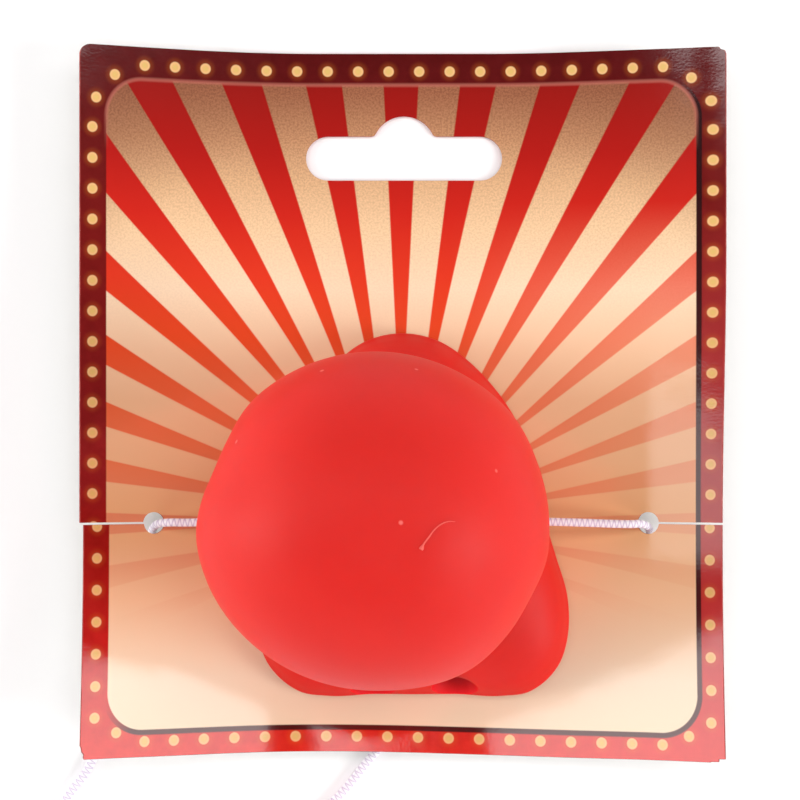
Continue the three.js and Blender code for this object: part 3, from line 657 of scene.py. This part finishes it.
def shell_of(name, rings, materials):
    """A closed skin through the rings, with a point in the middle of the first and of the last."""
    rows, count = rings.shape[:2]
    faces, _, _ = ring_faces(rows, count)
    points = np.vstack([rings.reshape(-1, 3), rings[0].mean(axis=0), rings[-1].mean(axis=0)])
    k = np.arange(count)
    low = np.stack([(k + 1) % count, k, np.full(count, rows * count)], axis=1)
    high = np.stack([(rows - 1) * count + k, (rows - 1) * count + (k + 1) % count,
                     np.full(count, rows * count + 1)], axis=1)
    return piece(name, points, faces.tolist() + low.tolist() + high.tolist(), materials)


# Soft PVC, cast in a polished mould and a little bloomed: a strong red that light enters by a fraction of a
# millimetre, with broad dull highlights, a faint cloudiness and a few specks of dust cast in.
soft_pvc, tree, surface = finish_of("soft_cast_pvc")
where = add(tree, "TexCoord").outputs["Object"]
cloud = add(tree, "TexNoise", {"Vector": where, "Scale": 70.0, "Detail": 3.0, "Roughness": 0.55})
tone = add(tree, "ValToRGB", {0: cloud}, stops=[(0.35, "#D2201A"), (0.65, "#D6241D")])
cells = add(tree, "TexVoronoi", {"Vector": where, "Scale": 120.0}).outputs["Distance"]
speck = add(tree, "MapRange", {"Value": cells, "From Min": 0.05, "From Max": 0.025, "To Max": 0.7})
tone = add(tree, "Mix", {"Factor": speck, "A": tone, "B": "#F58A80"}, data_type="RGBA")
skin_grain = add(tree, "TexNoise", {"Vector": where, "Scale": 1400.0, "Detail": 3.0})
bloom = add(tree, "MapRange", {"Value": cloud, "From Min": 0.3, "From Max": 0.7, "To Min": 0.47,
                               "To Max": 0.54})
put(tree, surface, Base_Color=tone, Roughness=bloom, IOR=1.53, Specular_IOR_Level=0.16, Subsurface_Weight=0.8,
    Subsurface_Radius=(1.0, 0.2, 0.1), Subsurface_Scale=3.0 * MM,
    Normal=add(tree, "Bump", {"Height": skin_grain, "Strength": 0.12, "Distance": 0.03 * MM}))

# Inside the holes and the pocket the same PVC has no bloom, and its colour is painted a brighter, deeper red as
# painted glow, standing for the light that comes through the wall.
glow_painted_pvc, tree, surface = finish_of("soft_pvc_inside_painted_glow")
where = add(tree, "TexCoord").outputs["Object"]
streaks = add(tree, "TexNoise", {"Vector": where, "Scale": 260.0, "Detail": 2.0})
put(tree, surface, Base_Color=add(tree, "ValToRGB", {0: streaks}, stops=[(0.35, "#E8141C"), (0.65, "#F01C24")]),
    Roughness=0.6, IOR=1.53, Specular_IOR_Level=0.15, Subsurface_Weight=1.0,
    Subsurface_Radius=(1.0, 0.2, 0.1), Subsurface_Scale=5.0 * MM)

# The outer skin: a rim rounded by 0.35 mm, the flare, a softened crease, and the ball.
round_off = 0.35
rises = np.concatenate([[0, 0.006, 0.015, 0.026], np.linspace(0.05, 1, 46)])
insets = np.concatenate([[round_off, round_off * 0.5, round_off * 0.13, 0.0], np.zeros(46)])[:, None]
latitudes = NECK_LATITUDE + (np.pi / 2 - NECK_LATITUDE) * (np.arange(1, 111) / 111)
outer = np.concatenate([base_rings(rises, insets), ball_rings(latitudes)])
crease = len(rises) - 1
for _ in range(12):
    # Each ring within 2 mm of the crease moves to the mean of itself and its neighbours.
    span = slice(crease - 3, crease + 4)
    outer[span] = (outer[crease - 4:crease + 3] + 2 * outer[span] + outer[crease - 2:crease + 5]) / 4
nose = shell_of("squeeze_nose", outer, [soft_pvc])

pocket_rises = np.concatenate([[-0.3], np.linspace(0, 1, 24)])
pocket_rings = base_rings(np.maximum(pocket_rises, 0), np.full((25, 1), WALL))
pocket_rings[0, :, 2] -= 4
# The wall is thicker at the nostrils, so that their lower sides hide the card.
pocket_rings[:, :, 1] = np.maximum(pocket_rings[:, :, 1], -44.4)
pocket = shell_of("cut_pocket", np.concatenate([pocket_rings, dome_rings(0)]), [glow_painted_pvc])
hollow_from = NECK_Z + DOME_RISE * DOME_SECTIONS[0][0] + WALL
inner = ball_rings(latitudes[::3], WALL)
inner = inner[inner[:, 0, 2] > hollow_from]
hollow = shell_of("cut_hollow", np.concatenate([dome_rings(WALL)[::-1], inner]), [glow_painted_pvc])


def bar(name, start, end, across_half, up_half, count=40):
    """A closed oval bar from one point to another, to cut a hole with."""
    start, end = np.array(start, float), np.array(end, float)
    ahead = (end - start) / np.linalg.norm(end - start)
    side = np.cross(ahead, [0, 0, 1] if abs(ahead[2]) < 0.9 else [0, 1, 0])
    side /= np.linalg.norm(side)
    up = np.cross(side, ahead)
    turn = 2 * np.pi * np.arange(count) / count
    ring = across_half * np.cos(turn)[:, None] * side + up_half * np.sin(turn)[:, None] * up
    return shell_of(name, np.stack([start + ring, end + ring])[:, ::-1], [glow_painted_pvc])


roof_z = NECK_Z + DOME_RISE
dome_x = ball_middle(np.array([NECK_Z]))[0, 0]
cutters = [pocket, hollow,
           bar("cut_air", (dome_x, BASE_MIDDLE[1], roof_z - 3), (dome_x, BASE_MIDDLE[1], roof_z + 5),
               AIR_HOLE / 2, AIR_HOLE / 2)]
for index, side_sign in enumerate((-1, 1)):
    nostril_x = NOSTRIL_MIDDLE + side_sign * NOSTRIL_SPACING / 2
    cutters.append(bar(f"cut_nostril_{index}", (nostril_x, NOSTRIL_REACH[0], NOSTRIL_Z),
                       (nostril_x, NOSTRIL_REACH[1], NOSTRIL_Z), *NOSTRIL_HALF))
    ear_x, ear_z = EAR_HOLES[index]
    cutters.append(bar(f"cut_ear_{index}", (ear_x - 4, -19.53, ear_z), (ear_x + 4, -19.53, ear_z),
                       EAR_HOLE / 2, EAR_HOLE / 2, 24))
for cutter in cutters:
    cut = nose.modifiers.new(cutter.name, "BOOLEAN")
    cut.operation, cut.solver, cut.object = "DIFFERENCE", "MANIFOLD", cutter
    cut.material_mode = "TRANSFER"
settle(nose, 50)
for cutter in cutters:
    bpy.data.objects.remove(cutter)
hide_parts("nose")

# ---- Flash line
# Where the two halves of the mould met a little apart, a hair-thin ridge was cast on the ball, with a small
# lump at its lower end.
FLASH_ROUTE = np.array([(2.79, -21.33), (3.3, -20.4), (3.96, -19.55), (4.65, -18.6), (5.39, -17.93),
                        (6.2, -17.5), (6.99, -17.34), (7.8, -17.4)])
level_x, level_y = (FLASH_ROUTE[:, 0] - (BASE_MIDDLE[0] + BALL_LEAN)) / BALL_HALF[0], \
                   (FLASH_ROUTE[:, 1] - BASE_MIDDLE[1]) / BALL_HALF[1]
flash_z = BALL_Z + BALL_HALF[2] * np.sqrt(1 - level_x ** 2 - level_y ** 2)
flash_line = smooth_route(np.column_stack([FLASH_ROUTE, flash_z - 0.03]), 8)
share = np.linspace(0, 1, len(flash_line))
thickness = 0.13 * (1 - share) ** 0.5 + 0.02 + 0.22 * np.exp(-((share - 0.03) / 0.05) ** 2)
points, faces, _ = tube(flash_line, thickness, 12)
# So thin, the same PVC lets light through and looks paler.
thin_pvc, tree, surface = finish_of("thin_pvc_flash")
where = add(tree, "TexCoord").outputs["Object"]
haze = add(tree, "TexNoise", {"Vector": where, "Scale": 600.0, "Detail": 2.0})
put(tree, surface, Base_Color=add(tree, "ValToRGB", {0: haze}, stops=[(0.3, "#E2544C"), (0.7, "#EA665C")]),
    Roughness=0.5, Specular_IOR_Level=0.2)
flash = piece("mould_flash", points, faces, [thin_pvc])

# ---- Squeaker
# A moulded polyethylene plug with a flange, pushed into the air hole from the pocket. A reed in its bore
# makes the sound.
SQUEAKER_PROFILE = [(0, 18.2), (1.7, 18.2), (1.9, 18.35), (1.9, 18.7), (2.3, 18.7), (2.3, 18.2), (5.9, 18.2),
                    (6.2, 18.5), (6.2, 19.4), (5.95, 19.7), (4.15, 19.7), (4.15, 22.4), (3.75, 23.05),
                    (0, 23.05)]
squeaker_plastic, tree, surface = finish_of("natural_polyethylene")
where = add(tree, "TexCoord").outputs["Object"]
haze = add(tree, "TexNoise", {"Vector": where, "Scale": 500.0, "Detail": 2.0})
put(tree, surface, Base_Color=add(tree, "ValToRGB", {0: haze}, stops=[(0.3, "#DEDAD0"), (0.7, "#EFECE4")]),
    Roughness=0.45, Subsurface_Weight=0.2, Subsurface_Scale=1.0 * MM,
    Normal=add(tree, "Bump", {"Height": haze, "Strength": 0.1, "Distance": 0.02 * MM}))
profile = np.array(SQUEAKER_PROFILE[1:-1])
turn = 2 * np.pi * np.arange(64) / 64
rings = np.stack([np.column_stack([dome_x + r * np.cos(turn), BASE_MIDDLE[1] + r * np.sin(turn),
                                   np.full(64, z)]) for r, z in profile])
squeaker = shell_of("squeaker_plug", rings, [squeaker_plastic])
squeaker.data.set_sharp_from_angle(angle=np.radians(40))
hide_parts("squeaker")

# ---- Table
# A plain pale table, larger than the view.
table_top, tree, surface = finish_of("pale_table")
where = add(tree, "TexCoord").outputs["Object"]
cast = add(tree, "TexNoise", {"Vector": where, "Scale": 3.0, "Detail": 2.0})
put(tree, surface, Base_Color=add(tree, "ValToRGB", {0: cast}, stops=[(0.3, "#FAF9F9"), (0.7, "#FCFBFB")]),
    Roughness=0.8)
floor = piece("table", [(-4000, -4000, 0), (4000, -4000, 0), (4000, 4000, 0), (-4000, 4000, 0)], [(0, 1, 2, 3)],
              [table_top])

# ---- Light
# Plain studio light. Two wide soft lamps hang beyond the card's top edge, where the bent lower part of the
# varnished card mirrors them, and a third hangs to the left, mirrored by the card's raised right side. One to
# each side leaves a dull highlight on the ball, and two in front, high and low, fill the shadows.
TARGET = Vector((0, -0.01, 0.02))


def lamp_box(name, place, width, height, radiance, turn=None):
    """A soft lamp at a place in metres, as bright as its radiance all over. It faces the part, or with a turn
    in degrees it hangs level and is turned by that about the vertical."""
    data = bpy.data.lights.new(name, "AREA")
    data.shape, data.size, data.size_y = "RECTANGLE", width, height
    data.energy = np.pi * radiance * width * height
    lamp = bpy.data.objects.new(name, data)
    bpy.context.collection.objects.link(lamp)
    lamp.location = place
    if turn is None:
        lamp.rotation_euler = (TARGET - Vector(place)).to_track_quat("-Z", "Y").to_euler()
    else:
        lamp.rotation_euler = (0, 0, np.radians(turn))


lamp_box("lamp_rear_right", (2.26, 1.65, 4.0), 3.48, 1.82, 3.2, 0)
lamp_box("lamp_rear_left", (-2.03, 1.57, 4.0), 3.9, 1.6, 3.2, 13)
lamp_box("lamp_high_left", (-2.80, -0.72, 4.0), 1.6, 1.5, 2.0, 0)
lamp_box("lamp_left", (-2.25, 0.0, 0.5), 1.0, 1.0, 9.0)
lamp_box("lamp_right", (2.1, -0.55, 1.05), 1.0, 1.0, 10.0)
lamp_box("lamp_high_front", (0.1, -1.45, 4.0), 3.4, 1.8, 1.7, 0)
lamp_box("lamp_front", (0.0, -2.4, 1.1), 3.0, 0.9, 1.0)
world = bpy.data.worlds.new("room")
bpy.context.scene.world = world
world.use_nodes = True
# The room is darker overhead, where the card mirrors it, than low down.
tree = world.node_tree
height = add(tree, "SeparateXYZ", {0: add(tree, "TexCoord").outputs["Generated"]}).outputs[2]
glow = add(tree, "MapRange", {"Value": height, "From Min": 0.70, "From Max": 0.45, "To Min": 0.05,
                              "To Max": 0.84}, interpolation_type="SMOOTHSTEP")
tree.links.new(glow.outputs[0], tree.nodes["Background"].inputs["Strength"])
tree.nodes["Background"].inputs["Color"].default_value = linear("#FFFFFF")
bpy.context.scene.view_settings.view_transform = "Standard"
